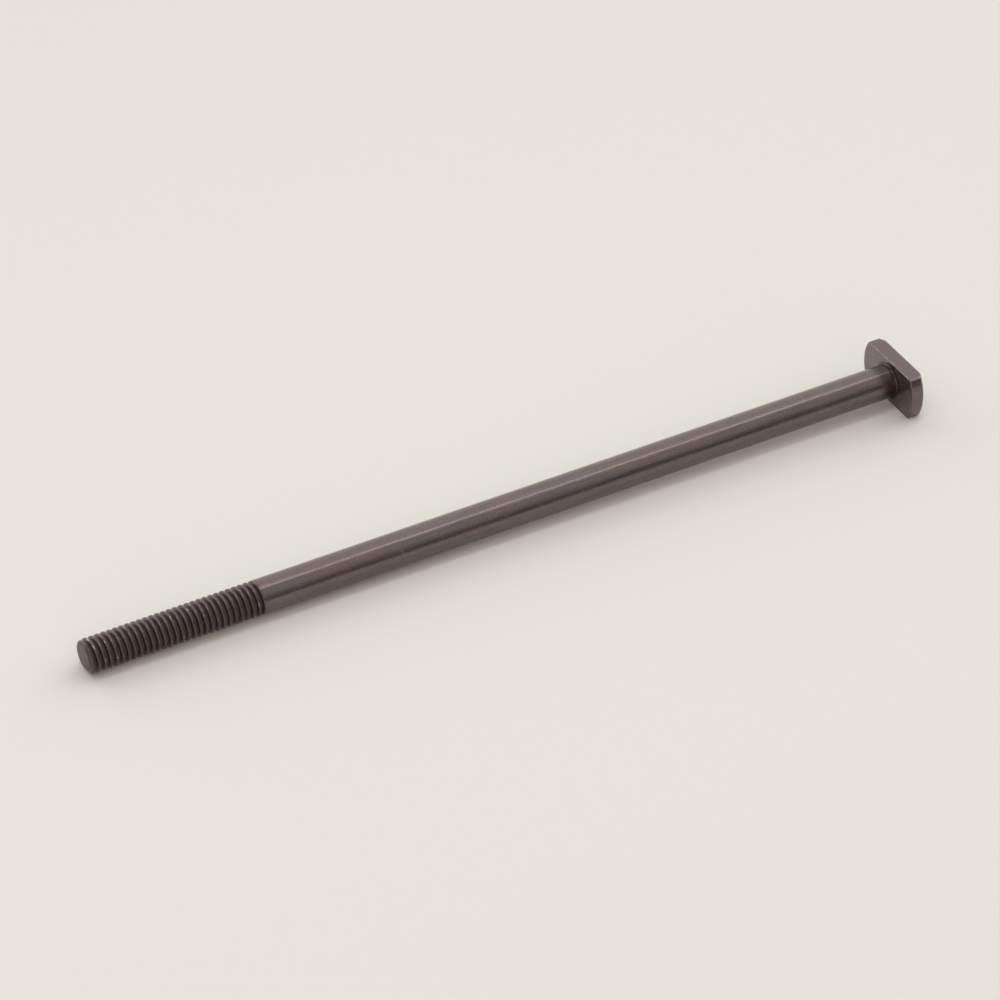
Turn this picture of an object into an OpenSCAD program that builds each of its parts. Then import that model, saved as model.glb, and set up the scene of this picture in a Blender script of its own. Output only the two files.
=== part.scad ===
// Layshaft bolt: a long, slim through bolt with a flat-sided round head.
// The bolt lies along X with its flats level: the head is at +X and the thread at -X.
// The origin is on the axis, at the underside of the head, from which its length is measured.

/* [Shank] */
// Length of the bolt from the underside of the head to the end of the thread
bolt_length = 203.2; // [120:0.1:260]
// Diameter of the plain shank
shank_d = 7.94; // [7:0.01:10]

/* [Head] */
// Diameter across the round ends of the head
head_d = 20.6; // [16:0.1:28]
// Width across the two flats of the head
head_flats = 10.8; // [9:0.1:15]
// Thickness of the head
head_thickness = 3.75; // [2.5:0.05:6]
// Chamfer round the outer face of the head, measured across that face
head_chamfer_width = 1.15; // [0.2:0.05:2]
// Chamfer round the outer face of the head, measured along the bolt
head_chamfer_depth = 0.9; // [0.2:0.05:1.5]
// Break on the corner between the underside and the round ends
head_rim_break = 0.25; // [0.05:0.05:0.6]
// Fillet between the shank and the underside of the head
neck_fillet = 0.35; // [0.2:0.05:1.2]

/* [Thread] */
// Threaded length, to the end of its run-out
thread_length = 41.6; // [20:0.1:50]
// Pitch of the thread: 18 turns to the inch
thread_pitch = 1.4111; // [1.1:0.0001:2]
// Angle between the two flanks of a groove
flank_angle = 55; // [50:1:60]
// Width of the flat along the top of the thread
crest_flat = 0.235; // [0.15:0.005:0.3]
// Width of the flat along the bottom of the groove
root_flat = 0.235; // [0.15:0.005:0.3]
// How far the top of the thread lies below the surface of the shank
crest_relief = 0.02; // [0.01:0.01:0.1]
// Turns over which the last groove fades out towards the shank
runout_turns = 0.6; // [0.2:0.05:1.5]
// Distance from the point to the middle of a crest, on the bolt's +Y side
first_crest = 1.38; // [0:0.02:1.4]
// Chamfer on the point, the same across its face and along the bolt
point_chamfer = 0.55; // [0.3:0.05:1.8]

/* [Hidden] */
$fn = 96;

steel = [0.42, 0.37, 0.36];

shank_r = shank_d / 2;
head_r = head_d / 2;
// The plain shank begins half a pitch past the run-out, clear of the last groove.
plain_length = bolt_length - thread_length - thread_pitch / 2;

// Thread section: one groove and one crest fill a pitch.
crest_r = shank_r - crest_relief;
flank_run = (thread_pitch - crest_flat - root_flat) / 2;
root_r = crest_r - flank_run / tan(flank_angle / 2);
point_r = crest_r - point_chamfer;

// The four edges of the thread section, as distances along the bolt within one pitch
section_z = [0, root_flat, root_flat + flank_run, root_flat + flank_run + crest_flat];
crest_middle = root_flat + flank_run + crest_flat / 2;
// How deep each edge lies: the first two bound the groove, the last two bound the crest
section_depth = [crest_r - root_r, crest_r - root_r, 0, 0];

// The threaded end is a surface of turns, each cut into this many steps.
steps = 32;
// Length by which the threaded end goes on past its last turn, inside the shank
joint_depth = 0.4;
// The surface begins two turns below the point, which is turned afterwards. A quarter turn leads
// from the step where it begins to the +Y side.
lead_in = 2 * thread_pitch;
start_z = first_crest - crest_middle - thread_pitch / 4 - lead_in;
// Room left between the turning tool's path and the crests
tool_room = 1;

// Step at which the last groove has faded out. The surface goes on for one more turn.
last_step = floor((thread_length - start_z) / thread_pitch * steps);

// Height above the point of an edge of the section, at one step of the helix
function edge_z(step, edge) = start_z + thread_pitch * step / steps + section_z[edge];

// Share of the full depth that the groove has at one step
function groove_share(step) = max(0, min(1, (last_step - step) / (runout_turns * steps)));

function edge_r(step, edge) = crest_r - section_depth[edge] * groove_share(step);

function on_circle(r, step, z) =
    [r * cos(360 * step / steps), r * sin(360 * step / steps), z];

function edge_point(step, edge) =
    on_circle(edge_r(step, edge), step, edge_z(step, edge));

// The thread before its point is turned, as one closed surface
module thread_blank() {
    line_count = last_step + steps + 1;
    first_edge = [for (i = [0 : line_count - 1]) edge_point(i, 0)];
    other_edges = [for (i = [0 : last_step], j = [1 : 3]) edge_point(i, j)];
    lower_ring = [for (i = [0 : steps - 1]) on_circle(crest_r, i, start_z - lead_in / 4)];
    joint_z = thread_length + thread_pitch + joint_depth;
    joint_ring = [for (i = [0 : steps - 1]) on_circle(crest_r - crest_relief, i, joint_z)];

    function at(i, j) =
        j == 0 ? i : j == 4 ? i + steps : line_count + 3 * i + j - 1;
    ring_start = line_count + 3 * (last_step + 1);
    function low(i) = ring_start + i % steps;
    function high(i) = ring_start + steps + i % steps;

    // Between neighbouring edges of the section
    turns = [for (i = [0 : last_step - 1], j = [0 : 3])
        each [[at(i, j), at(i, j + 1), at(i + 1, j + 1)],
              [at(i, j), at(i + 1, j + 1), at(i + 1, j)]]];
    // From the lower ring to the first turn, and from the last turn to the joint's ring
    lower = [for (i = [0 : steps - 2])
        each [[low(i), at(i, 0), at(i + 1, 0)], [low(i), at(i + 1, 0), low(i + 1)]]];
    upper = [for (i = [last_step + 1 : last_step + steps - 1])
        each [[at(i, 0), high(i), high(i + 1)], [at(i, 0), high(i + 1), at(i + 1, 0)]]];
    // The step at each end where a turn begins or stops beside its neighbour
    start = at(steps - 1, 0);
    start_chain = [low(steps - 1), low(0), for (j = [0 : 4]) at(0, j)];
    stop = at(last_step + 1, 0);
    stop_chain = [for (j = [0 : 4]) at(last_step, j), high(last_step), high(last_step + 1)];
    ends = [for (k = [0 : 5])
        each [[start, start_chain[k + 1], start_chain[k]],
              [stop, stop_chain[k], stop_chain[k + 1]]]];
    caps = [[for (i = [0 : steps - 1]) low(i)],
            [for (i = [steps - 1 : -1 : 0]) high(i)]];

    polyhedron(
        points = concat(first_edge, other_edges, lower_ring, joint_ring),
        faces = concat(turns, lower, upper, ends, caps),
        convexity = 10);
}

// The threaded end stands on its point at z = 0.
module threaded_end() {
    tool_r = crest_r + tool_room;
    top_z = thread_length + thread_pitch + 2 * joint_depth;
    intersection() {
        thread_blank();
        rotate_extrude()
            polygon([[0, 0], [point_r, 0], [tool_r, tool_r - point_r], [tool_r, top_z], [0, top_z]]);
    }
}

// Half section of the turned blank, with the underside of the head at y = 0
module blank_section() {
    translate([0, -plain_length]) square([shank_r, plain_length]);
    difference() {
        translate([0, -neck_fillet]) square([shank_r + neck_fillet, neck_fillet]);
        translate([shank_r + neck_fillet, -neck_fillet]) circle(neck_fillet);
    }
    polygon([
        [0, 0],
        [head_r - head_rim_break, 0],
        [head_r, head_rim_break],
        [head_r, head_thickness - head_chamfer_depth],
        [head_r - head_chamfer_width, head_thickness],
        [0, head_thickness],
    ]);
}

// Waste that is milled off each side of the head to leave its flats
module milled_waste() {
    for (side = [-1, 1])
        translate([side * (head_flats / 2 + head_r), 0, head_thickness / 2])
            cube([2 * head_r, 2 * head_d, 2 * head_thickness], center = true);
}

module layshaft_bolt() {
    color(steel)
    rotate([0, 90, 0]) {
        difference() {
            rotate_extrude() blank_section();
            milled_waste();
        }
        translate([0, 0, -bolt_length]) threaded_end();
    }
}

layshaft_bolt();
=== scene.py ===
"""Layshaft bolt: a long, slim through bolt with a flat-sided round head, lying on a studio floor.

Everything is in metres in the row frame: X runs along the bolt towards the head, Z is up, and the
origin is on the axis at the underside of the head.
"""

import math

import bmesh
import bpy
from bpy.props import FloatProperty, FloatVectorProperty, IntProperty, PointerProperty
from mathutils import Matrix, Vector


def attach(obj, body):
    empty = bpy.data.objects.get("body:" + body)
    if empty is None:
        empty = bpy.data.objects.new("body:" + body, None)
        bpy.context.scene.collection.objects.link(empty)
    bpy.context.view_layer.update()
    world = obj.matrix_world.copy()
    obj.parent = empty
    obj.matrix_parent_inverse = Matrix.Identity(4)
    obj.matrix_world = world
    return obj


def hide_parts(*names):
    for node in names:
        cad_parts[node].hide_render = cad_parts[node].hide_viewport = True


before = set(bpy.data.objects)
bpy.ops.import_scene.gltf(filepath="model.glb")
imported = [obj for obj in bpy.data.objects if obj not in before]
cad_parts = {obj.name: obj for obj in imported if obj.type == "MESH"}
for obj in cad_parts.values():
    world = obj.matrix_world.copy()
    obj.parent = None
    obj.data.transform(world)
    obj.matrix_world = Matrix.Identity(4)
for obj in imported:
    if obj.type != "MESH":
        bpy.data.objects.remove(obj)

bl_info = {
    "name": "Layshaft Bolt",
    "version": (1, 0, 0),
    "blender": (4, 5, 0),
    "location": "View3D > Sidebar > Bolt",
    "description": "A through bolt with a flat-sided round head, its steel finish and its studio",
    "category": "Add Mesh",
}

MM = 0.001
FULL_TURN = 2 * math.pi
CAD_NODE = "layshaft_bolt"
PIECE = "dressed_bolt"
SLOT = "blackened_steel"
# Points closer than this are one point.
MERGE_DISTANCE = 0.002 * MM


# ---------------------------------------------------------------- sizes and colours


def length(name, description, millimetres, smallest=0.0):
    """A size of the bolt, shown in the scene's own unit."""
    return FloatProperty(
        name=name,
        description=description,
        default=millimetres * MM,
        min=smallest * MM,
        precision=5,
        unit="LENGTH",
    )


def colour(name, description, value):
    return FloatVectorProperty(
        name=name,
        description=description,
        default=value,
        size=3,
        min=0.0,
        max=1.0,
        subtype="COLOR",
    )


class BoltSizes(bpy.types.PropertyGroup):
    """Real sizes of the bolt."""

    bolt_length: length("Length", "From the underside of the head to the point", 203.2)
    shank_diameter: length("Shank diameter", "Across the plain shank", 7.94)
    head_diameter: length("Head diameter", "Across the round ends of the head", 20.56)
    head_flats: length("Across flats", "Between the two flats of the head", 10.8)
    head_thickness: length("Head thickness", "Along the bolt", 3.75)
    head_chamfer_width: length("Chamfer width", "Across the outer face", 1.15)
    head_chamfer_depth: length("Chamfer depth", "Along the bolt", 0.9)
    head_rim_break: length("Rim break", "Corner of the underside and the round ends", 0.25)
    edge_softness: length("Edge softness", "Rounding left on the milled edges", 0.14)
    neck_fillet: length("Neck fillet", "Between shank and head", 0.35)
    thread_length: length("Thread length", "From the point to the end of the run-out", 41.6)
    thread_pitch: length("Thread pitch", "Eighteen turns to the inch", 1.4111, 0.5)
    crest_flat: length("Crest flat", "Flat along the top of the thread", 0.36)
    crest_relief: length("Crest relief", "From the shank's surface down to the crests", 0.02)
    thread_depth: length("Thread depth", "From crest to root", 0.9)
    crest_softness: length("Crest softness", "Rounding of the crest's corners", 0.16)
    root_softness: length("Root softness", "Rounding of the root", 0.25)
    first_crest: length("First crest", "From the point to the first crest, on the +Y side", 1.38)
    point_chamfer: length("Point chamfer", "Across the point's face and along the bolt", 0.55)
    point_softness: length("Point softness", "Depth of the rounding at the point's corner", 0.25)
    flank_angle: FloatProperty(
        name="Flank angle",
        description="Between the two flanks of a groove",
        default=math.radians(55),
        subtype="ANGLE",
    )
    runout_turns: FloatProperty(
        name="Run-out turns",
        description="Turns over which the last groove fades out",
        default=0.5,
        min=0.1,
    )
    steps_round: IntProperty(
        name="Steps round",
        description="Faces round the shank and the thread",
        default=96,
        min=24,
    )
    rows_per_pitch: IntProperty(
        name="Rows per pitch",
        description="Faces along one pitch of the thread",
        default=16,
        min=6,
    )


class BoltFinish(bpy.types.PropertyGroup):
    """Colours of the blackened steel and of what has settled on it; some are also laid on as
    painted shade and painted reflection.
    """

    steel: colour("Steel", "Warm brown-grey of the blackened steel", (0.150, 0.106, 0.099))
    # This slate tone, laid towards the underside, is also a painted reflection of the floor
    cool_steel_and_reflection: colour("Cool steel", "Slate tone between the brown areas", (0.137, 0.110, 0.112))
    rust: colour("Rust", "Thin rusty bloom", (0.150, 0.082, 0.062))
    # At the neck this colour is laid on as painted shade in the corner between shank and head
    oil_and_neck_shade: colour("Old oil", "Dark film on the thread and at the neck", (0.040, 0.028, 0.027))
    point: colour("Point", "Reddish film on the face of the point", (0.084, 0.045, 0.043))
    bare: colour("Bare steel", "Where the finish has worn off", (0.36, 0.32, 0.31))


class StudioSettings(bpy.types.PropertyGroup):
    """Camera, light and floor."""

    floor: colour("Floor", "Pale warm paper", (0.758, 0.750, 0.692))
    view_bearing: FloatProperty(
        name="View bearing",
        description="How far the camera looks towards +X from straight along +Y",
        default=math.radians(28.779),
        subtype="ANGLE",
    )
    view_height: FloatProperty(
        name="View height",
        description="How far the camera looks down",
        default=math.radians(37.865),
        subtype="ANGLE",
    )
    view_roll: FloatProperty(
        name="View roll",
        description="Turn of the camera about its own line of sight",
        default=math.radians(-0.319),
        subtype="ANGLE",
    )
    view_distance: length("View distance", "From the camera to the point it looks at", 1005.9)
    view_target: FloatVectorProperty(
        name="View target",
        description="Point at the middle of the frame",
        default=(-0.09943, 0.00442, 0.0),
        size=3,
        subtype="TRANSLATION",
    )
    lens: FloatProperty(
        name="Lens",
        description="Focal length on a 36 mm square frame",
        default=163.1,
        unit="CAMERA",
    )
    lamp_strength: FloatProperty(
        name="Lamp",
        description="Power of the strip lamp",
        default=0.63,
        unit="POWER",
    )
    sky_strength: FloatProperty(
        name="Sky",
        description="Strength of the soft light",
        default=0.93,
    )


# ---------------------------------------------------------------- nodes


class NodeSheet:
    """Adds nodes to a tree and joins them up."""

    def __init__(self, tree):
        self.tree = tree

    def feed(self, socket, value):
        if isinstance(value, bpy.types.NodeSocket):
            self.tree.links.new(value, socket)
        else:
            socket.default_value = value

    def add(self, kind, inputs=None, **settings):
        node = self.tree.nodes.new(kind)
        for name, value in settings.items():
            setattr(node, name, value)
        for key, value in (inputs or {}).items():
            self.feed(node.inputs[key], value)
        return node

    def math(self, operation, *values, clamp=False):
        node = self.tree.nodes.new("ShaderNodeMath")
        node.operation = operation
        node.use_clamp = clamp
        for socket, value in zip(node.inputs, values):
            self.feed(socket, value)
        return node.outputs[0]

    def smooth_step(self, value, low, high, to_low=0.0, to_high=1.0):
        node = self.add(
            "ShaderNodeMapRange",
            {
                "Value": value,
                "From Min": low,
                "From Max": high,
                "To Min": to_low,
                "To Max": to_high,
            },
            interpolation_type="SMOOTHSTEP",
        )
        return node.outputs["Result"]

    def blend(self, factor, first, second, kind="MIX"):
        node = self.add("ShaderNodeMix", data_type="RGBA", blend_type=kind)
        self.feed(node.inputs["Factor"], factor)
        for socket in node.inputs:
            if socket.type == "RGBA" and socket.name in ("A", "B"):
                value = first if socket.name == "A" else second
                if not isinstance(value, bpy.types.NodeSocket):
                    value = (*value, 1.0)
                self.feed(socket, value)
        return next(s for s in node.outputs if s.type == "RGBA")

    def noise(self, vector, scale, detail=3.0, roughness=0.55):
        node = self.add(
            "ShaderNodeTexNoise",
            {"Vector": vector, "Scale": scale, "Detail": detail, "Roughness": roughness},
        )
        return node.outputs["Fac"]


# ---------------------------------------------------------------- the thread


# Inputs of the tree that winds the thread, by kind of socket
THREAD_INPUTS = {
    "NodeSocketFloat": (
        "Bolt Length",
        "Zone Start",
        "Zone Length",
        "Thread Length",
        "Pitch",
        "First Crest",
        "Shank Radius",
        "Crest Radius",
        "Root Radius",
        "Point Radius",
        "Crest Flat",
        "Flank Slope",
        "Run-out",
        "Crest Softness",
        "Root Softness",
        "Merge Distance",
    ),
    "NodeSocketInt": ("Steps Round", "Rows"),
    "NodeSocketMaterial": ("Material",),
}


def thread_tree():
    """Geometry Nodes tree that winds the thread about the bolt's axis, from point to shank."""
    tree = bpy.data.node_groups.new("wound_thread", "GeometryNodeTree")
    for kind, names in THREAD_INPUTS.items():
        for name in names:
            tree.interface.new_socket(name, in_out="INPUT", socket_type=kind)
    tree.interface.new_socket("Geometry", in_out="OUTPUT", socket_type="NodeSocketGeometry")

    sheet = NodeSheet(tree)
    given = sheet.add("NodeGroupInput").outputs
    math_of = sheet.math

    grid = sheet.add(
        "GeometryNodeMeshGrid",
        {
            "Size X": 1.0,
            "Size Y": 1.0,
            "Vertices X": math_of("ADD", given["Steps Round"], 1.0),
            "Vertices Y": math_of("ADD", given["Rows"], 1.0),
        },
    )
    position = sheet.add("GeometryNodeInputPosition").outputs[0]
    flat = sheet.add("ShaderNodeSeparateXYZ", {0: position}).outputs
    turn = math_of("ADD", flat["X"], 0.5)
    along = math_of("ADD", flat["Y"], 0.5)

    # Each row climbs one pitch in a turn, and stops at the two ends of the zone.
    pitch, start = given["Pitch"], given["Zone Start"]
    span = math_of("ADD", given["Zone Length"], pitch)
    lag = math_of("MULTIPLY", pitch, math_of("SUBTRACT", turn, 1.0))
    climb = math_of("ADD", math_of("MULTIPLY_ADD", along, span, lag), start)
    zone_end = math_of("ADD", start, given["Zone Length"])
    depth_in = math_of("MINIMUM", math_of("MAXIMUM", climb, start), zone_end)

    # Distance along the bolt from the middle of the nearest crest
    turns_in = math_of("DIVIDE", math_of("SUBTRACT", depth_in, given["First Crest"]), pitch)
    phase = math_of("FRACT", math_of("ADD", math_of("SUBTRACT", turns_in, turn), 0.5))
    off_crest = math_of("MULTIPLY", math_of("ABSOLUTE", math_of("SUBTRACT", phase, 0.5)), pitch)

    crest = given["Crest Radius"]
    past_flat = math_of("SUBTRACT", off_crest, math_of("MULTIPLY", given["Crest Flat"], 0.5))
    fall = math_of("MULTIPLY", past_flat, given["Flank Slope"])
    flank = math_of("SUBTRACT", crest, fall)
    form = math_of("SMOOTH_MIN", flank, crest, given["Crest Softness"])
    form = math_of("SMOOTH_MAX", form, given["Root Radius"], given["Root Softness"])

    # The last groove fades out over the run-out, where the crest rises to the shank's surface.
    left = math_of("SUBTRACT", given["Thread Length"], depth_in)
    share = sheet.smooth_step(left, 0.0, math_of("MULTIPLY", given["Run-out"], pitch))
    groove = math_of("MULTIPLY", math_of("SUBTRACT", crest, form), share)
    rise = sheet.smooth_step(left, pitch, 0.0)
    relief = math_of("MULTIPLY", math_of("SUBTRACT", given["Shank Radius"], crest), rise)
    form = math_of("ADD", math_of("SUBTRACT", crest, groove), relief)

    # The point is chamfered at 45 degrees.
    chamfer = math_of("ADD", given["Point Radius"], depth_in)
    radius = math_of("SMOOTH_MIN", form, chamfer, given["Crest Softness"])

    angle = math_of("MULTIPLY", turn, FULL_TURN)
    place = sheet.add(
        "ShaderNodeCombineXYZ",
        {
            "X": math_of("SUBTRACT", depth_in, given["Bolt Length"]),
            "Y": math_of("MULTIPLY", radius, math_of("COSINE", angle)),
            "Z": math_of("MULTIPLY", radius, math_of("SINE", angle)),
        },
    )
    wound = sheet.add(
        "GeometryNodeSetPosition",
        {"Geometry": grid.outputs["Mesh"], "Position": place.outputs[0]},
    )
    closed = sheet.add(
        "GeometryNodeMergeByDistance",
        {"Geometry": wound.outputs[0], "Distance": given["Merge Distance"]},
    )
    real = sheet.add("GeometryNodeRealizeInstances", {"Geometry": closed.outputs[0]})
    dressed = sheet.add(
        "GeometryNodeSetMaterial",
        {"Geometry": real.outputs[0], "Material": given["Material"]},
    )
    result = sheet.add("NodeGroupOutput")
    tree.links.new(dressed.outputs[0], result.inputs["Geometry"])
    return tree


def zone_length(sizes):
    """Whole pitches that the wound zone takes up: the thread and a little of the shank."""
    return math.ceil(sizes.thread_length / sizes.thread_pitch) * sizes.thread_pitch


def zone_start(sizes):
    """Where the wound zone takes over from the rounded corner of the point. It lies half a step of
    the winding past a whole step, so that no row ends a hair's breadth from it."""
    steps = round(sizes.point_softness / sizes.thread_pitch * sizes.steps_round) + 0.5
    return steps * (sizes.thread_pitch / sizes.steps_round)


def wound_thread(target, sizes, material):
    """The threaded end as a plain mesh. The tree is evaluated on target, then removed from it."""
    tree = thread_tree()
    shank = sizes.shank_diameter / 2
    crest = shank - sizes.crest_relief
    turns = round(zone_length(sizes) / sizes.thread_pitch) + 1
    values = {
        "Bolt Length": sizes.bolt_length,
        "Zone Start": zone_start(sizes),
        "Zone Length": zone_length(sizes),
        "Thread Length": sizes.thread_length,
        "Pitch": sizes.thread_pitch,
        "First Crest": sizes.first_crest,
        "Shank Radius": shank,
        "Crest Radius": crest,
        "Root Radius": crest - sizes.thread_depth,
        "Point Radius": crest - sizes.point_chamfer,
        "Crest Flat": sizes.crest_flat,
        "Flank Slope": 1 / math.tan(sizes.flank_angle / 2),
        "Run-out": sizes.runout_turns,
        "Crest Softness": sizes.crest_softness,
        "Root Softness": sizes.root_softness,
        "Steps Round": sizes.steps_round,
        "Rows": turns * sizes.rows_per_pitch,
        "Merge Distance": MERGE_DISTANCE,
        "Material": material,
    }
    modifier = target.modifiers.new("wound_thread", "NODES")
    modifier.node_group = tree
    for item in tree.interface.items_tree:
        if item.in_out == "INPUT":
            modifier[item.identifier] = values[item.name]
    evaluated = target.evaluated_get(bpy.context.evaluated_depsgraph_get())
    mesh = bpy.data.meshes.new_from_object(evaluated)
    target.modifiers.remove(modifier)
    bpy.data.node_groups.remove(tree)
    if not mesh.polygons:
        raise RuntimeError("the thread's tree made no faces")
    return mesh


# ---------------------------------------------------------------- the turned and milled blank

# Slope of the point's chamfer in degrees, and the faces across its rounded corner
POINT_SLOPE = 45
POINT_CORNER_STEPS = 4
# Extra rings on the flat ends, as shares of a radius well inside each outline
POINT_FACE_RINGS = (0.7, 0.35)
HEAD_FACE_RINGS = (0.3, 0.125)
# Faces along the shank and across the fillet at its neck
SHANK_STATIONS = 24
FILLET_STEPS = 8


def corner(centre, radius, start, end, count):
    """Points of a rounded corner as (along the bolt, out from the axis)."""
    points = []
    for i in range(count + 1):
        angle = math.radians(start + (end - start) * i / count)
        points.append((centre[0] + radius * math.cos(angle), centre[1] + radius * math.sin(angle)))
    return points


def ring(bm, x, radii, angles):
    """A closed row of points round the bolt's axis."""
    return [
        bm.verts.new((x, radius * math.cos(angle), radius * math.sin(angle)))
        for radius, angle in zip(radii, angles)
    ]


def join_rings(bm, rings):
    """Faces between each ring and the next."""
    for first, second in zip(rings, rings[1:]):
        for i in range(len(first)):
            j = (i + 1) % len(first)
            bm.faces.new((first[i], second[i], second[j], first[j]))


def close_ring(bm, x, rim):
    """A fan of faces from a ring to the axis."""
    pole = bm.verts.new((x, 0.0, 0.0))
    for i, vert in enumerate(rim):
        bm.faces.new((vert, pole, rim[(i + 1) % len(rim)]))


def add_point_face(bm, sizes):
    """Closes the thread's open end with the flat face of the point. Its rounded corner follows the
    groove where that breaks out through the face."""
    depth = zone_start(sizes)
    tip = -sizes.bolt_length
    rim = [v for v in bm.verts if v.is_boundary and v.co.x < tip + depth + MERGE_DISTANCE]
    rim.sort(key=lambda v: math.atan2(v.co.z, v.co.y) % FULL_TURN)
    angles = [math.atan2(v.co.z, v.co.y) for v in rim]
    radii = [math.hypot(v.co.y, v.co.z) for v in rim]
    slope = math.radians(POINT_SLOPE)
    soft = depth / (1 - math.sin(slope))
    centre = (soft, -soft * math.cos(slope))
    profile = corner(centre, soft, 90 + POINT_SLOPE, 180, POINT_CORNER_STEPS)
    rings = [rim]
    rings += [ring(bm, tip + x, [r + inset for r in radii], angles) for x, inset in profile[1:]]
    flat = sizes.shank_diameter / 2 - sizes.thread_depth
    for share in POINT_FACE_RINGS:
        rings.append(ring(bm, tip, [flat * share] * len(angles), angles))
    join_rings(bm, rings)
    close_ring(bm, tip, rings[-1])


def add_shank(bm, sizes):
    """The plain shank and the fillet at its neck. Returns the fillet's last ring."""
    shank = sizes.shank_diameter / 2
    start = -sizes.bolt_length + zone_start(sizes) + zone_length(sizes)
    fillet = sizes.neck_fillet
    reach = -fillet - start
    profile = [(start + reach * i / SHANK_STATIONS, shank) for i in range(SHANK_STATIONS)]
    profile += corner((-fillet, shank + fillet), fillet, 270, 360, FILLET_STEPS)
    angles = [FULL_TURN * i / sizes.steps_round for i in range(sizes.steps_round)]
    rings = [ring(bm, x, [r] * len(angles), angles) for x, r in profile]
    join_rings(bm, rings)
    return rings[-1]


def head_angles(sizes, arc=15, fine=14, flat=12, margin=math.radians(2.5)):
    """Angles round the head, close together where the flats meet the round ends. The counts are
    for one quarter: half a round end, the corner with a margin each side, and half a flat."""
    turn = math.asin(sizes.head_flats / sizes.head_diameter)
    near = math.asin(sizes.head_flats / (sizes.head_diameter - 2 * sizes.head_chamfer_width))
    low, high = turn - margin, near + margin
    right = math.pi / 2
    quarter = [low * i / arc for i in range(arc)]
    quarter += [low + (high - low) * i / fine for i in range(fine + 1)]
    quarter += [high + (right - high) * i / flat for i in range(1, flat)]
    half = quarter + [right] + [math.pi - a for a in reversed(quarter)]
    return half[:-1] + [a + math.pi for a in half[:-1]]


def soft_min(a, b, softness):
    """The smaller of two lengths, rounded off where they are nearly the same."""
    h = max(softness - abs(a - b), 0.0) / softness
    return min(a, b) - h * h * h * softness / 6


def head_outline(radius, half_flats, angles, softness):
    """How far a disc with two flats reaches from its axis at each angle."""
    radii = []
    for angle in angles:
        reach = half_flats / max(abs(math.sin(angle)), 1e-6)
        radii.append(soft_min(radius, reach, softness))
    return radii


def add_head(bm, sizes, neck):
    """The round head with its two milled flats, from the neck's ring to the outer face."""
    radius = sizes.head_diameter / 2
    half = sizes.head_flats / 2
    soft = sizes.edge_softness
    rim = sizes.head_rim_break
    top = sizes.head_thickness
    wide, deep = sizes.head_chamfer_width, sizes.head_chamfer_depth
    inner = radius - wide
    slope = wide / deep
    # (along the bolt, radius of the round ends, half the width across the flats)
    stations = [
        # Underside, and its softened corner
        (0.0, radius - 4 * rim, half - 4 * soft),
        (0.0, radius - rim - 0.5 * soft, half - 1.6 * soft),
        (0.0, radius - rim, half - soft),
    ]
    for degrees in (30, 60, 90):
        left = 1 - math.sin(math.radians(degrees))
        up = 1 - math.cos(math.radians(degrees))
        stations.append((soft * up, radius - rim * left, half - soft * left))
    stations += [
        # Side
        (rim, radius, half),
        (rim + 2 * soft, radius, half),
        (top - deep - 3 * soft, radius, half),
        (top - deep - soft, radius, half),
        # Chamfer, with its two softened corners
        (top - deep, radius - 0.25 * soft * slope, half),
        (top - deep + soft, radius - soft * slope, half),
        (top - 3 * soft, inner + 3 * soft * slope, half),
        (top - soft, inner + soft * slope, half),
        (top - 0.3 * soft, inner + 0.15 * soft, half - 0.3 * soft),
        # Outer face
        (top, inner - 0.6 * soft, half - soft),
        (top, inner - 2 * soft, half - 2 * soft),
        (top, inner - 6 * soft, half - 6 * soft),
    ]
    angles = head_angles(sizes)
    rings = [ring(bm, x, head_outline(r, h, angles, 4 * soft), angles) for x, r, h in stations]
    for share in HEAD_FACE_RINGS:
        rings.append(ring(bm, top, [radius * share] * len(angles), angles))
    join_rings(bm, rings)
    close_ring(bm, top, rings[-1])
    # The underside runs in from the head's outline to the neck's ring, which has other steps.
    loops = [edge for loop in (neck, rings[0]) for edge in loop_edges(bm, loop)]
    bmesh.ops.bridge_loops(bm, edges=loops)


def loop_edges(bm, loop):
    bm.edges.ensure_lookup_table()
    return [bm.edges.get((vert, loop[(i + 1) % len(loop)])) for i, vert in enumerate(loop)]


def build_bolt(target, sizes, material):
    """Winds the thread, turns the blank onto it and leaves one closed mesh in target."""
    thread = wound_thread(target, sizes, material)
    bm = bmesh.new()
    bm.from_mesh(thread)
    bpy.data.meshes.remove(thread)
    add_point_face(bm, sizes)
    neck = add_shank(bm, sizes)
    add_head(bm, sizes, neck)
    bmesh.ops.remove_doubles(bm, verts=bm.verts, dist=MERGE_DISTANCE)
    bmesh.ops.recalc_face_normals(bm, faces=bm.faces)
    open_edges = [edge for edge in bm.edges if len(edge.link_faces) != 2]
    if open_edges:
        raise RuntimeError(f"the bolt's surface has {len(open_edges)} open edges")
    for face in bm.faces:
        face.smooth = True
        face.material_index = 0
    mesh = target.data
    bm.to_mesh(mesh)
    bm.free()
    mesh.materials.clear()
    mesh.materials.append(material)
    mesh.update()


# ---------------------------------------------------------------- the finish

# Noise scales, per metre
MOTTLE_SCALE = 260.0
LINE_SCALE = 2600.0
SPECK_SCALE = 2400.0
GRAIN_SCALE = 9000.0
BLOOM_SCALE = 420.0
PATCH_SCALE = 900.0
NICK_AND_GLINT_SCALE = 620.0
CUT_SCALE = 7000.0

# Bands over which a mask rises from 0 to 1, in millimetres from the surface or end that each one
# is named for, and for the neck along the bolt from the underside of the head
RUSTY_NECK = (-9.0, -3.0)
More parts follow.
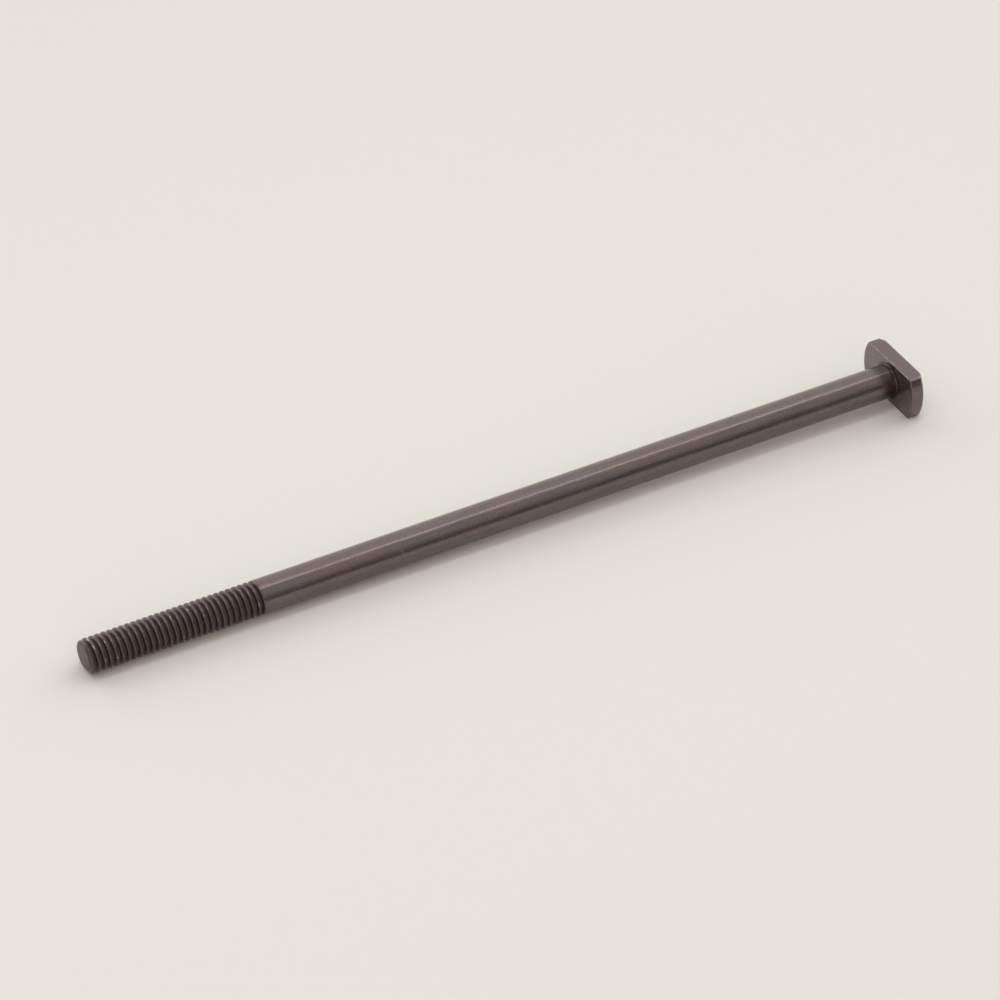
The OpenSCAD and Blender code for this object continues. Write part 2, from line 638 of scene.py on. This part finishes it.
# The next two bound the painted shade in the corner at the neck
NECK_SHADE = (-5.6, -2.2)
SHANK_SHADE = (0.8, 0.35)
THREAD_END = (0.2, -0.3)
ROOTS = (-0.30, -0.85)
CREST_EDGE = (-0.12, -0.01)
POINT_FACE = (0.3, 0.05)
FLAT_EDGE = (-0.45, -0.02)
ROUND_EDGE = (-0.5, -0.05)
UNDERSIDE_EDGE = (0.45, 0.03)
OUTER_EDGE = (-0.45, -0.02)
NICKED_AND_GLINTING_END = (8.0, 1.0)

# How much of the oil's colour shows on the thread, how much lighter its roots and upper side are
# painted, and how much shade is painted at the neck
OIL_ON_THREAD = 0.52
ROOTS_PAINTED_LIGHTER = -0.30
TOP_PAINTED_LIGHTER = -0.22
# Share of the painted shade in the corner at the neck
PAINTED_NECK_SHADE = 0.76

# How much of the bare steel shows
WORN_HEAD_EDGE = 0.5
WORN_CREST = 0.05
# Bare nicks on the crests, partly painted glints
NICK_AND_GLINT_SHARE = 0.8

COAT_WEIGHT = 0.4
COAT_ROUGHNESS = 0.18
MARK_STRENGTH = 0.5
MARK_DEPTH = 0.012 * MM
# Room either side of the plane of the head's underside
UNDERSIDE_ROOM = 0.1 * MM


class BoltSurface:
    """Coordinates on the bolt, its patterns, and the areas where each part of its finish lies,
    painted shade, light and glints among them.
    """

    def __init__(self, sheet, sizes):
        self.sheet = sheet
        self.sizes = sizes
        self.shank = sizes.shank_diameter / 2
        self.crest = self.shank - sizes.crest_relief
        self.place = sheet.add("ShaderNodeTexCoord").outputs["Object"]
        parts = sheet.add("ShaderNodeSeparateXYZ", {0: self.place}).outputs
        self.x, y, self.z = parts["X"], parts["Y"], parts["Z"]
        squares = sheet.math(
            "ADD", sheet.math("MULTIPLY", y, y), sheet.math("MULTIPLY", self.z, self.z)
        )
        self.out = sheet.math("SQRT", squares)
        self.lay_patterns()
        self.mark_thread()
        self.mark_head()
        self.mark_rust()
        self.mark_wear()

    def fade(self, value, band, origin=0.0):
        """From 0 at one end of a band, in millimetres from the origin, to 1 at the other."""
        low, high = band
        return self.sheet.smooth_step(value, origin + low * MM, origin + high * MM)

    def stretched(self, share):
        """The bolt's coordinates, squeezed along X so that a pattern draws out along the bolt."""
        inputs = {"Vector": self.place, "Scale": (share, 1.0, 1.0)}
        return self.sheet.add("ShaderNodeMapping", inputs).outputs[0]

    def lay_patterns(self):
        """Mottling, and the fine lines that the drawing die leaves along the bar."""
        sheet = self.sheet
        self.mottle = sheet.noise(self.stretched(0.25), MOTTLE_SCALE, 4.0)
        self.lines = sheet.noise(self.stretched(0.04), LINE_SCALE, 3.0, 0.6)
        self.speck = sheet.noise(self.place, SPECK_SCALE, 2.0)
        self.grain = sheet.noise(self.place, GRAIN_SCALE, 2.0)
        self.patchy = sheet.smooth_step(sheet.noise(self.place, PATCH_SCALE, 4.0), 0.42, 0.66)

    def mark_thread(self):
        """The thread, its roots, the side that lies uppermost, and the face of the point."""
        sheet, sizes = self.sheet, self.sizes
        thread_end = -sizes.bolt_length + sizes.thread_length
        self.in_thread = self.fade(self.x, THREAD_END, thread_end)
        self.in_roots = sheet.math(
            "MULTIPLY", self.in_thread, self.fade(self.out, ROOTS, self.crest)
        )
        # The upper side of the thread, which is painted lighter and given more glints
        upper = sheet.smooth_step(self.z, 0.62 * self.shank, 0.92 * self.shank)
        self.on_top = sheet.math("MULTIPLY", self.in_thread, upper)
        self.on_point = self.fade(self.x, POINT_FACE, -sizes.bolt_length)

    def mark_head(self):
        """The faced ends of the head, and the corner between the neck and the head, where shade is
        painted.
        """
        sheet = self.sheet
        normal = sheet.add("ShaderNodeNewGeometry").outputs["True Normal"]
        facing = sheet.add("ShaderNodeSeparateXYZ", {0: normal}).outputs["X"]
        self.faced = sheet.smooth_step(sheet.math("ABSOLUTE", facing), 0.9, 0.99)
        self.on_head = sheet.math("GREATER_THAN", self.x, -UNDERSIDE_ROOM)
        # Painted shade: the corner where the shank meets the head
        shade_area = sheet.math(
            "MULTIPLY",
            self.fade(self.x, NECK_SHADE),
            self.fade(self.out, SHANK_SHADE, self.shank),
        )
        below_head = sheet.math("LESS_THAN", self.x, UNDERSIDE_ROOM)
        self.neck_shade = sheet.math("MULTIPLY", shade_area, below_head)

    def mark_rust(self):
        """Rusty bloom: thin everywhere, stronger on the neck."""
        sheet = self.sheet
        self.neck_near = self.fade(self.x, RUSTY_NECK)
        more = sheet.math("MULTIPLY", self.neck_near, 0.06)
        field = sheet.math("ADD", sheet.noise(self.place, BLOOM_SCALE, 5.0), more)
        self.rust = sheet.smooth_step(field, 0.60, 0.72)

    def mark_wear(self):
        """Worn edges of the head, where two of its surfaces are both close, worn crests, and nicks
        that are partly painted glints.
        """
        sheet, sizes = self.sheet, self.sizes
        flat_near = self.fade(sheet.math("ABSOLUTE", self.z), FLAT_EDGE, sizes.head_flats / 2)
        both = flat_near
        for near in (
            self.fade(self.out, ROUND_EDGE, sizes.head_diameter / 2),
            self.fade(self.x, UNDERSIDE_EDGE),
            self.fade(self.x, OUTER_EDGE, sizes.head_thickness),
        ):
            both = sheet.math("ADD", both, near)
        head_edge = sheet.math("SUBTRACT", both, 1.0, clamp=True)
        past_neck = sheet.math("GREATER_THAN", self.out, self.shank + sizes.neck_fillet * 1.5)
        head_edge = sheet.math("MULTIPLY", head_edge, past_neck)
        by_flat = sheet.math("MULTIPLY_ADD", flat_near, 0.65, 0.35)
        head_edge = sheet.math("MULTIPLY", head_edge, by_flat)

        high = self.fade(self.out, CREST_EDGE, self.crest)
        on_crest = sheet.math("MULTIPLY", self.in_thread, high)
        edge = sheet.math(
            "MAXIMUM",
            sheet.math("MULTIPLY", head_edge, WORN_HEAD_EDGE),
            sheet.math("MULTIPLY", on_crest, WORN_CREST),
        )
        worn = sheet.math("MULTIPLY", edge, sheet.math("MULTIPLY_ADD", self.patchy, 0.7, 0.3))

        # Nicks on the crests, which are also painted glints, with more of them near the point and
        # on top, where the lamp's glints fall
        near_point = sheet.math("MULTIPLY", self.fade(self.x, NICKED_AND_GLINTING_END, -sizes.bolt_length), 0.05)
        more_glints_on_top = sheet.math("MULTIPLY_ADD", self.on_top, 1.4, 1.0)
        near_point = sheet.math("MULTIPLY", near_point, more_glints_on_top)
        field = sheet.math("ADD", sheet.noise(self.place, NICK_AND_GLINT_SCALE, 1.0), near_point)
        nicked_and_glinting = sheet.smooth_step(field, 0.67, 0.75, 0.0, NICK_AND_GLINT_SHARE)
        self.nicks_and_glints = sheet.math("MULTIPLY", on_crest, nicked_and_glinting)
        self.worn = sheet.math("MAXIMUM", worn, self.nicks_and_glints)


def steel_colour(sheet, surface, finish):
    """Mottled steel with a painted reflection towards its underside, and rust, oil, painted shade
    and light and bare metal laid over it in turn.
    """
    # Painted reflection: the lower half takes more of the slate tone
    underside_reflection = sheet.smooth_step(surface.z, 0.45 * surface.shank, 0.05 * surface.shank, 0.0, 0.26)
    slate = sheet.smooth_step(sheet.math("ADD", surface.mottle, underside_reflection), 0.42, 0.66)
    base = sheet.blend(slate, finish.steel, finish.cool_steel_and_reflection)
    tone = sheet.math(
        "MULTIPLY",
        sheet.smooth_step(surface.lines, 0.3, 0.7, 0.9, 1.12),
        sheet.smooth_step(surface.speck, 0.3, 0.7, 0.9, 1.1),
    )
    base = sheet.blend(1.0, base, tone, "MULTIPLY")

    rusty = sheet.math("MULTIPLY_ADD", surface.neck_near, 0.3, 0.3)
    base = sheet.blend(sheet.math("MULTIPLY", surface.rust, rusty), base, finish.rust)

    # Old oil darkens the thread. Its roots are painted lighter, which lifts their shade, and its
    # upper side is painted lighter, as painted light
    film = sheet.math("MULTIPLY", surface.in_thread, OIL_ON_THREAD)
    film = sheet.math("MULTIPLY_ADD", surface.in_roots, ROOTS_PAINTED_LIGHTER, film)
    film = sheet.math("MULTIPLY_ADD", surface.on_top, TOP_PAINTED_LIGHTER, film, clamp=True)
    base = sheet.blend(film, base, finish.oil_and_neck_shade)
    # Painted shade in the corner between the shank and the head
    neck_shade_share = sheet.math("MULTIPLY", surface.neck_shade, PAINTED_NECK_SHADE)
    base = sheet.blend(neck_shade_share, base, finish.oil_and_neck_shade)
    filmed = sheet.math("MULTIPLY_ADD", surface.patchy, 0.35, 0.6)
    base = sheet.blend(sheet.math("MULTIPLY", surface.on_point, filmed), base, finish.point)

    # The tool has left the faced ends of the head a little lighter
    faced_head = sheet.math("MULTIPLY", surface.faced, surface.on_head)
    lighter = sheet.math("MULTIPLY_ADD", faced_head, 0.25, 1.0)
    base = sheet.blend(1.0, base, lighter, "MULTIPLY")
    return sheet.blend(surface.worn, base, finish.bare)


def summed(sheet, start, steps):
    """Adds each mask times its share to start, and clamps the last sum to between 0 and 1."""
    total = start
    for i, (mask, share) in enumerate(steps, 1):
        total = sheet.math("MULTIPLY_ADD", mask, share, total, clamp=i == len(steps))
    return total


def steel_finish(sizes, finish):
    """Blackened steel: brown and slate mottling, drawn lines, worn edges, some rust, old oil, and
    painted shade, light, glints and reflection.
    """
    material = bpy.data.materials.new(SLOT)
    material.use_nodes = True
    tree = material.node_tree
    tree.nodes.clear()
    sheet = NodeSheet(tree)
    surface = BoltSurface(sheet, sizes)

    roughness = summed(
        sheet,
        0.15,
        (
            (surface.lines, 0.14),
            (surface.speck, 0.06),
            (surface.rust, 0.12),
            (surface.in_thread, 0.05),
            (surface.in_roots, 0.12),
            (surface.nicks_and_glints, -0.08),
        ),
    )
    metallic = summed(
        sheet, 0.85, ((surface.rust, -0.2), (surface.in_roots, -0.3), (surface.worn, 0.3))
    )

    # A thin wet film, nearly dry on the thread and dry on the neck and the point
    dry = sheet.math("MAXIMUM", surface.neck_shade, sheet.math("MULTIPLY", surface.on_point, 0.85))
    dry = sheet.math("MAXIMUM", dry, sheet.math("MULTIPLY", surface.in_thread, 0.6))
    wet = sheet.math("MULTIPLY_ADD", dry, -COAT_WEIGHT, COAT_WEIGHT)

    # Tool marks: drawn lines along the shank, rings on the faced ends of the head and the point
    cuts = sheet.add(
        "ShaderNodeTexNoise",
        {"W": surface.out, "Scale": CUT_SCALE, "Detail": 2.0},
        noise_dimensions="1D",
    )
    marks = sheet.add(
        "ShaderNodeMix",
        {"Factor": surface.faced, "A": surface.lines, "B": cuts.outputs["Fac"]},
        data_type="FLOAT",
    )
    height = sheet.math("MULTIPLY_ADD", surface.grain, 0.35, marks.outputs["Result"])
    height = sheet.math("MULTIPLY_ADD", surface.speck, 0.6, height)
    bump = sheet.add(
        "ShaderNodeBump", {"Strength": MARK_STRENGTH, "Distance": MARK_DEPTH, "Height": height}
    )

    shader = sheet.add(
        "ShaderNodeBsdfPrincipled",
        {
            "Base Color": steel_colour(sheet, surface, finish),
            "Metallic": metallic,
            "Roughness": roughness,
            "Normal": bump.outputs[0],
            "Coat Weight": wet,
            "Coat Roughness": COAT_ROUGHNESS,
            "Coat Normal": bump.outputs[0],
        },
    )
    result = sheet.add("ShaderNodeOutputMaterial")
    tree.links.new(shader.outputs[0], result.inputs["Surface"])
    return material


# ---------------------------------------------------------------- studio

FLOOR_HALF = 12.0
LAMP_SIZE = (1.1, 0.045)
LAMP_PLACE = (-0.14, 0.03, 0.6)
# The way that the lamp's back faces
LAMP_BACK = (0.0, 0.05, 1.0)


def floor_material(studio):
    material = bpy.data.materials.new("pale_floor")
    material.use_nodes = True
    shader = material.node_tree.nodes["Principled BSDF"]
    shader.inputs["Base Color"].default_value = (*studio.floor, 1.0)
    shader.inputs["Roughness"].default_value = 0.95
    shader.inputs["Specular IOR Level"].default_value = 0.1
    return material


def lay_floor(sizes, studio):
    """A wide floor that carries the bolt as it lies, on its head and the end of its thread."""
    half = FLOOR_HALF
    head_edge = sizes.head_flats / 2
    crest = sizes.shank_diameter / 2 - sizes.crest_relief
    reach = sizes.bolt_length - sizes.point_chamfer
    slope = (head_edge - crest) / reach
    outline = ((-half, -half), (half, -half), (half, half), (-half, half))
    corners = [(x, y, -head_edge - slope * x) for x, y in outline]
    mesh = bpy.data.meshes.new("floor")
    mesh.from_pydata(corners, [], [(0, 1, 2, 3)])
    mesh.materials.append(floor_material(studio))
    floor = bpy.data.objects.new("floor", mesh)
    bpy.context.scene.collection.objects.link(floor)


def sky_ramp(sheet, tilt, stops, peak):
    """Light against the share of the half turn from behind, over the top, to the front."""
    ramp = sheet.add("ShaderNodeValToRGB", {"Fac": tilt})
    elements = ramp.color_ramp.elements
    while len(elements) < len(stops):
        elements.new(0.5)
    for element, (position, level, tint) in zip(elements, stops):
        element.position = position
        element.color = (*(level / peak * part for part in tint), 1.0)
    return ramp.outputs["Color"]


PLAIN = (1.0, 1.0, 1.0)
ROSY = (1.16, 0.94, 0.90)
# Stops of the light on the head's side of the bolt's middle and on the point's side, each as a
# share of the half turn, a level and a tint
SKY_RIGHT = (
    (0.00, 0.90, ROSY),
    (0.10, 1.03, PLAIN),
    (0.24, 1.10, PLAIN),
    (0.38, 1.32, PLAIN),
    (0.44, 1.16, PLAIN),
    (0.50, 0.92, PLAIN),
    (0.57, 0.80, PLAIN),
    (0.73, 0.78, PLAIN),
    (0.80, 0.60, PLAIN),
    (0.87, 0.26, PLAIN),
    (0.94, 0.10, PLAIN),
    (1.00, 0.38, PLAIN),
)
SKY_LEFT = (
    (0.00, 2.00, ROSY),
    (0.14, 2.50, PLAIN),
    (0.19, 2.45, PLAIN),
    (0.24, 2.00, PLAIN),
    (0.29, 1.15, PLAIN),
    (0.34, 0.30, PLAIN),
    (0.45, 0.20, PLAIN),
    (0.49, 0.90, PLAIN),
    (0.52, 1.50, PLAIN),
    (0.57, 1.15, PLAIN),
    (0.62, 0.95, PLAIN),
    (0.70, 0.80, ROSY),
    (0.77, 1.25, ROSY),
    (1.00, 1.60, ROSY),
)
# The next three start with a band of X, in the direction that the light comes from. Over the first,
# the left sky gives way to the right one.
SKY_CHANGE = (0.0, 0.2)
# Towards the head's end the light grows by the last number.
HEAD_END_GROWTH = (0.5, 0.95, 1.9)
# At the point's end it is the share given by the last number.
POINT_END_SHARE = (-0.65, -0.2, 0.6)


def light_sky(studio):
    """Soft light all round, which changes from behind the bolt to the front of it."""
    world = bpy.data.worlds.new("studio")
    world.use_nodes = True
    world.node_tree.nodes.clear()
    sheet = NodeSheet(world.node_tree)
    direction = sheet.add("ShaderNodeTexCoord").outputs["Generated"]
    way = sheet.add("ShaderNodeSeparateXYZ", {0: direction}).outputs
    tilt = sheet.math("DIVIDE", sheet.math("ARCTAN2", way["Z"], way["Y"]), math.pi)
    peak = max(level * max(tint) for _, level, tint in SKY_RIGHT + SKY_LEFT)
    right = sky_ramp(sheet, tilt, SKY_RIGHT, peak)
    left = sky_ramp(sheet, tilt, SKY_LEFT, peak)
    sky = sheet.blend(sheet.smooth_step(way["X"], *SKY_CHANGE), left, right)
    low, high, growth = HEAD_END_GROWTH
    plain_strength = peak * studio.sky_strength
    grown = sheet.smooth_step(way["X"], low, high, plain_strength, growth * plain_strength)
    low, high, share = POINT_END_SHARE
    strength = sheet.math("MULTIPLY", grown, sheet.smooth_step(way["X"], low, high, share, 1.0))
    background = sheet.add("ShaderNodeBackground", {"Color": sky, "Strength": strength})
    result = sheet.add("ShaderNodeOutputWorld")
    world.node_tree.links.new(background.outputs[0], result.inputs["Surface"])
    bpy.context.scene.world = world


def hang_lamp(studio):
    """A narrow strip lamp over the bolt, along it."""
    data = bpy.data.lights.new("strip_lamp", "AREA")
    data.shape = "RECTANGLE"
    data.size, data.size_y = LAMP_SIZE
    data.energy = studio.lamp_strength
    lamp = bpy.data.objects.new("strip_lamp", data)
    lamp.location = LAMP_PLACE
    lamp.rotation_mode = "QUATERNION"
    lamp.rotation_quaternion = Vector(LAMP_BACK).to_track_quat("Z", "Y")
    bpy.context.scene.collection.objects.link(lamp)


def set_camera(studio):
    data = bpy.data.cameras.new("camera")
    data.sensor_fit = "AUTO"
    data.sensor_width = 36.0
    data.lens = studio.lens
    data.clip_start = 0.01
    data.clip_end = 50.0
    bearing, height = studio.view_bearing, studio.view_height
    ahead = Vector(
        (
            math.cos(height) * math.sin(bearing),
            math.cos(height) * math.cos(bearing),
            -math.sin(height),
        )
    )
    right = Vector((math.cos(bearing), -math.sin(bearing), 0.0))
    up = right.cross(ahead)
    turned = Matrix.Rotation(-studio.view_roll, 3, ahead)
    right, up = turned @ right, turned @ up
    camera = bpy.data.objects.new("camera", data)
    place = Vector(studio.view_target) - ahead * studio.view_distance
    camera.matrix_world = Matrix(
        (
            (right.x, up.x, -ahead.x, place.x),
            (right.y, up.y, -ahead.y, place.y),
            (right.z, up.z, -ahead.z, place.z),
            (0.0, 0.0, 0.0, 1.0),
        )
    )
    bpy.context.scene.collection.objects.link(camera)
    bpy.context.scene.camera = camera


# ---------------------------------------------------------------- operators


class BOLT_OT_make_bolt(bpy.types.Operator):
    """Make the bolt: wound thread, turned shank and milled head, in blackened steel"""

    bl_idname = "bolt.make_bolt"
    bl_label = "Make Bolt"
    bl_options = {"REGISTER", "UNDO"}

    def execute(self, context):
        sizes, finish = context.scene.bolt_sizes, context.scene.bolt_finish
        bolt = bpy.data.objects.new(PIECE, bpy.data.meshes.new(PIECE))
        context.scene.collection.objects.link(bolt)
        build_bolt(bolt, sizes, steel_finish(sizes, finish))
        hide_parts(CAD_NODE)
        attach(bolt, "root")
        return {"FINISHED"}


class BOLT_OT_set_stage(bpy.types.Operator):
    """Lay the floor, light the studio and place the camera"""

    bl_idname = "bolt.set_stage"
    bl_label = "Set Stage"
    bl_options = {"REGISTER", "UNDO"}

    def execute(self, context):
        sizes, studio = context.scene.bolt_sizes, context.scene.bolt_studio
        context.scene.view_settings.view_transform = "Standard"
        lay_floor(sizes, studio)
        light_sky(studio)
        hang_lamp(studio)
        set_camera(studio)
        return {"FINISHED"}


class BOLT_PT_sidebar(bpy.types.Panel):
    """Sizes, finish and studio of the bolt, with a button for each operator"""

    bl_idname = "BOLT_PT_sidebar"
    bl_label = "Layshaft Bolt"
    bl_space_type = "VIEW_3D"
    bl_region_type = "UI"
    bl_category = "Bolt"

    def draw(self, context):
        for group, operator in (
            (context.scene.bolt_sizes, None),
            (context.scene.bolt_finish, BOLT_OT_make_bolt),
            (context.scene.bolt_studio, BOLT_OT_set_stage),
        ):
            column = self.layout.column(align=True)
            for name in group.bl_rna.properties.keys():
                if name not in ("rna_type", "name"):
                    column.prop(group, name)
            if operator:
                self.layout.operator(operator.bl_idname)


CLASSES = (
    BoltSizes,
    BoltFinish,
    StudioSettings,
    BOLT_OT_make_bolt,
    BOLT_OT_set_stage,
    BOLT_PT_sidebar,
)


def register():
    for cls in CLASSES:
        bpy.utils.register_class(cls)
    bpy.types.Scene.bolt_sizes = PointerProperty(type=BoltSizes)
    bpy.types.Scene.bolt_finish = PointerProperty(type=BoltFinish)
    bpy.types.Scene.bolt_studio = PointerProperty(type=StudioSettings)


def unregister():
    del bpy.types.Scene.bolt_studio
    del bpy.types.Scene.bolt_finish
    del bpy.types.Scene.bolt_sizes
    for cls in reversed(CLASSES):
        bpy.utils.unregister_class(cls)


def main():
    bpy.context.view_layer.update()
    register()
    bpy.ops.bolt.make_bolt()
    bpy.ops.bolt.set_stage()


if __name__ == "__main__":
    main()
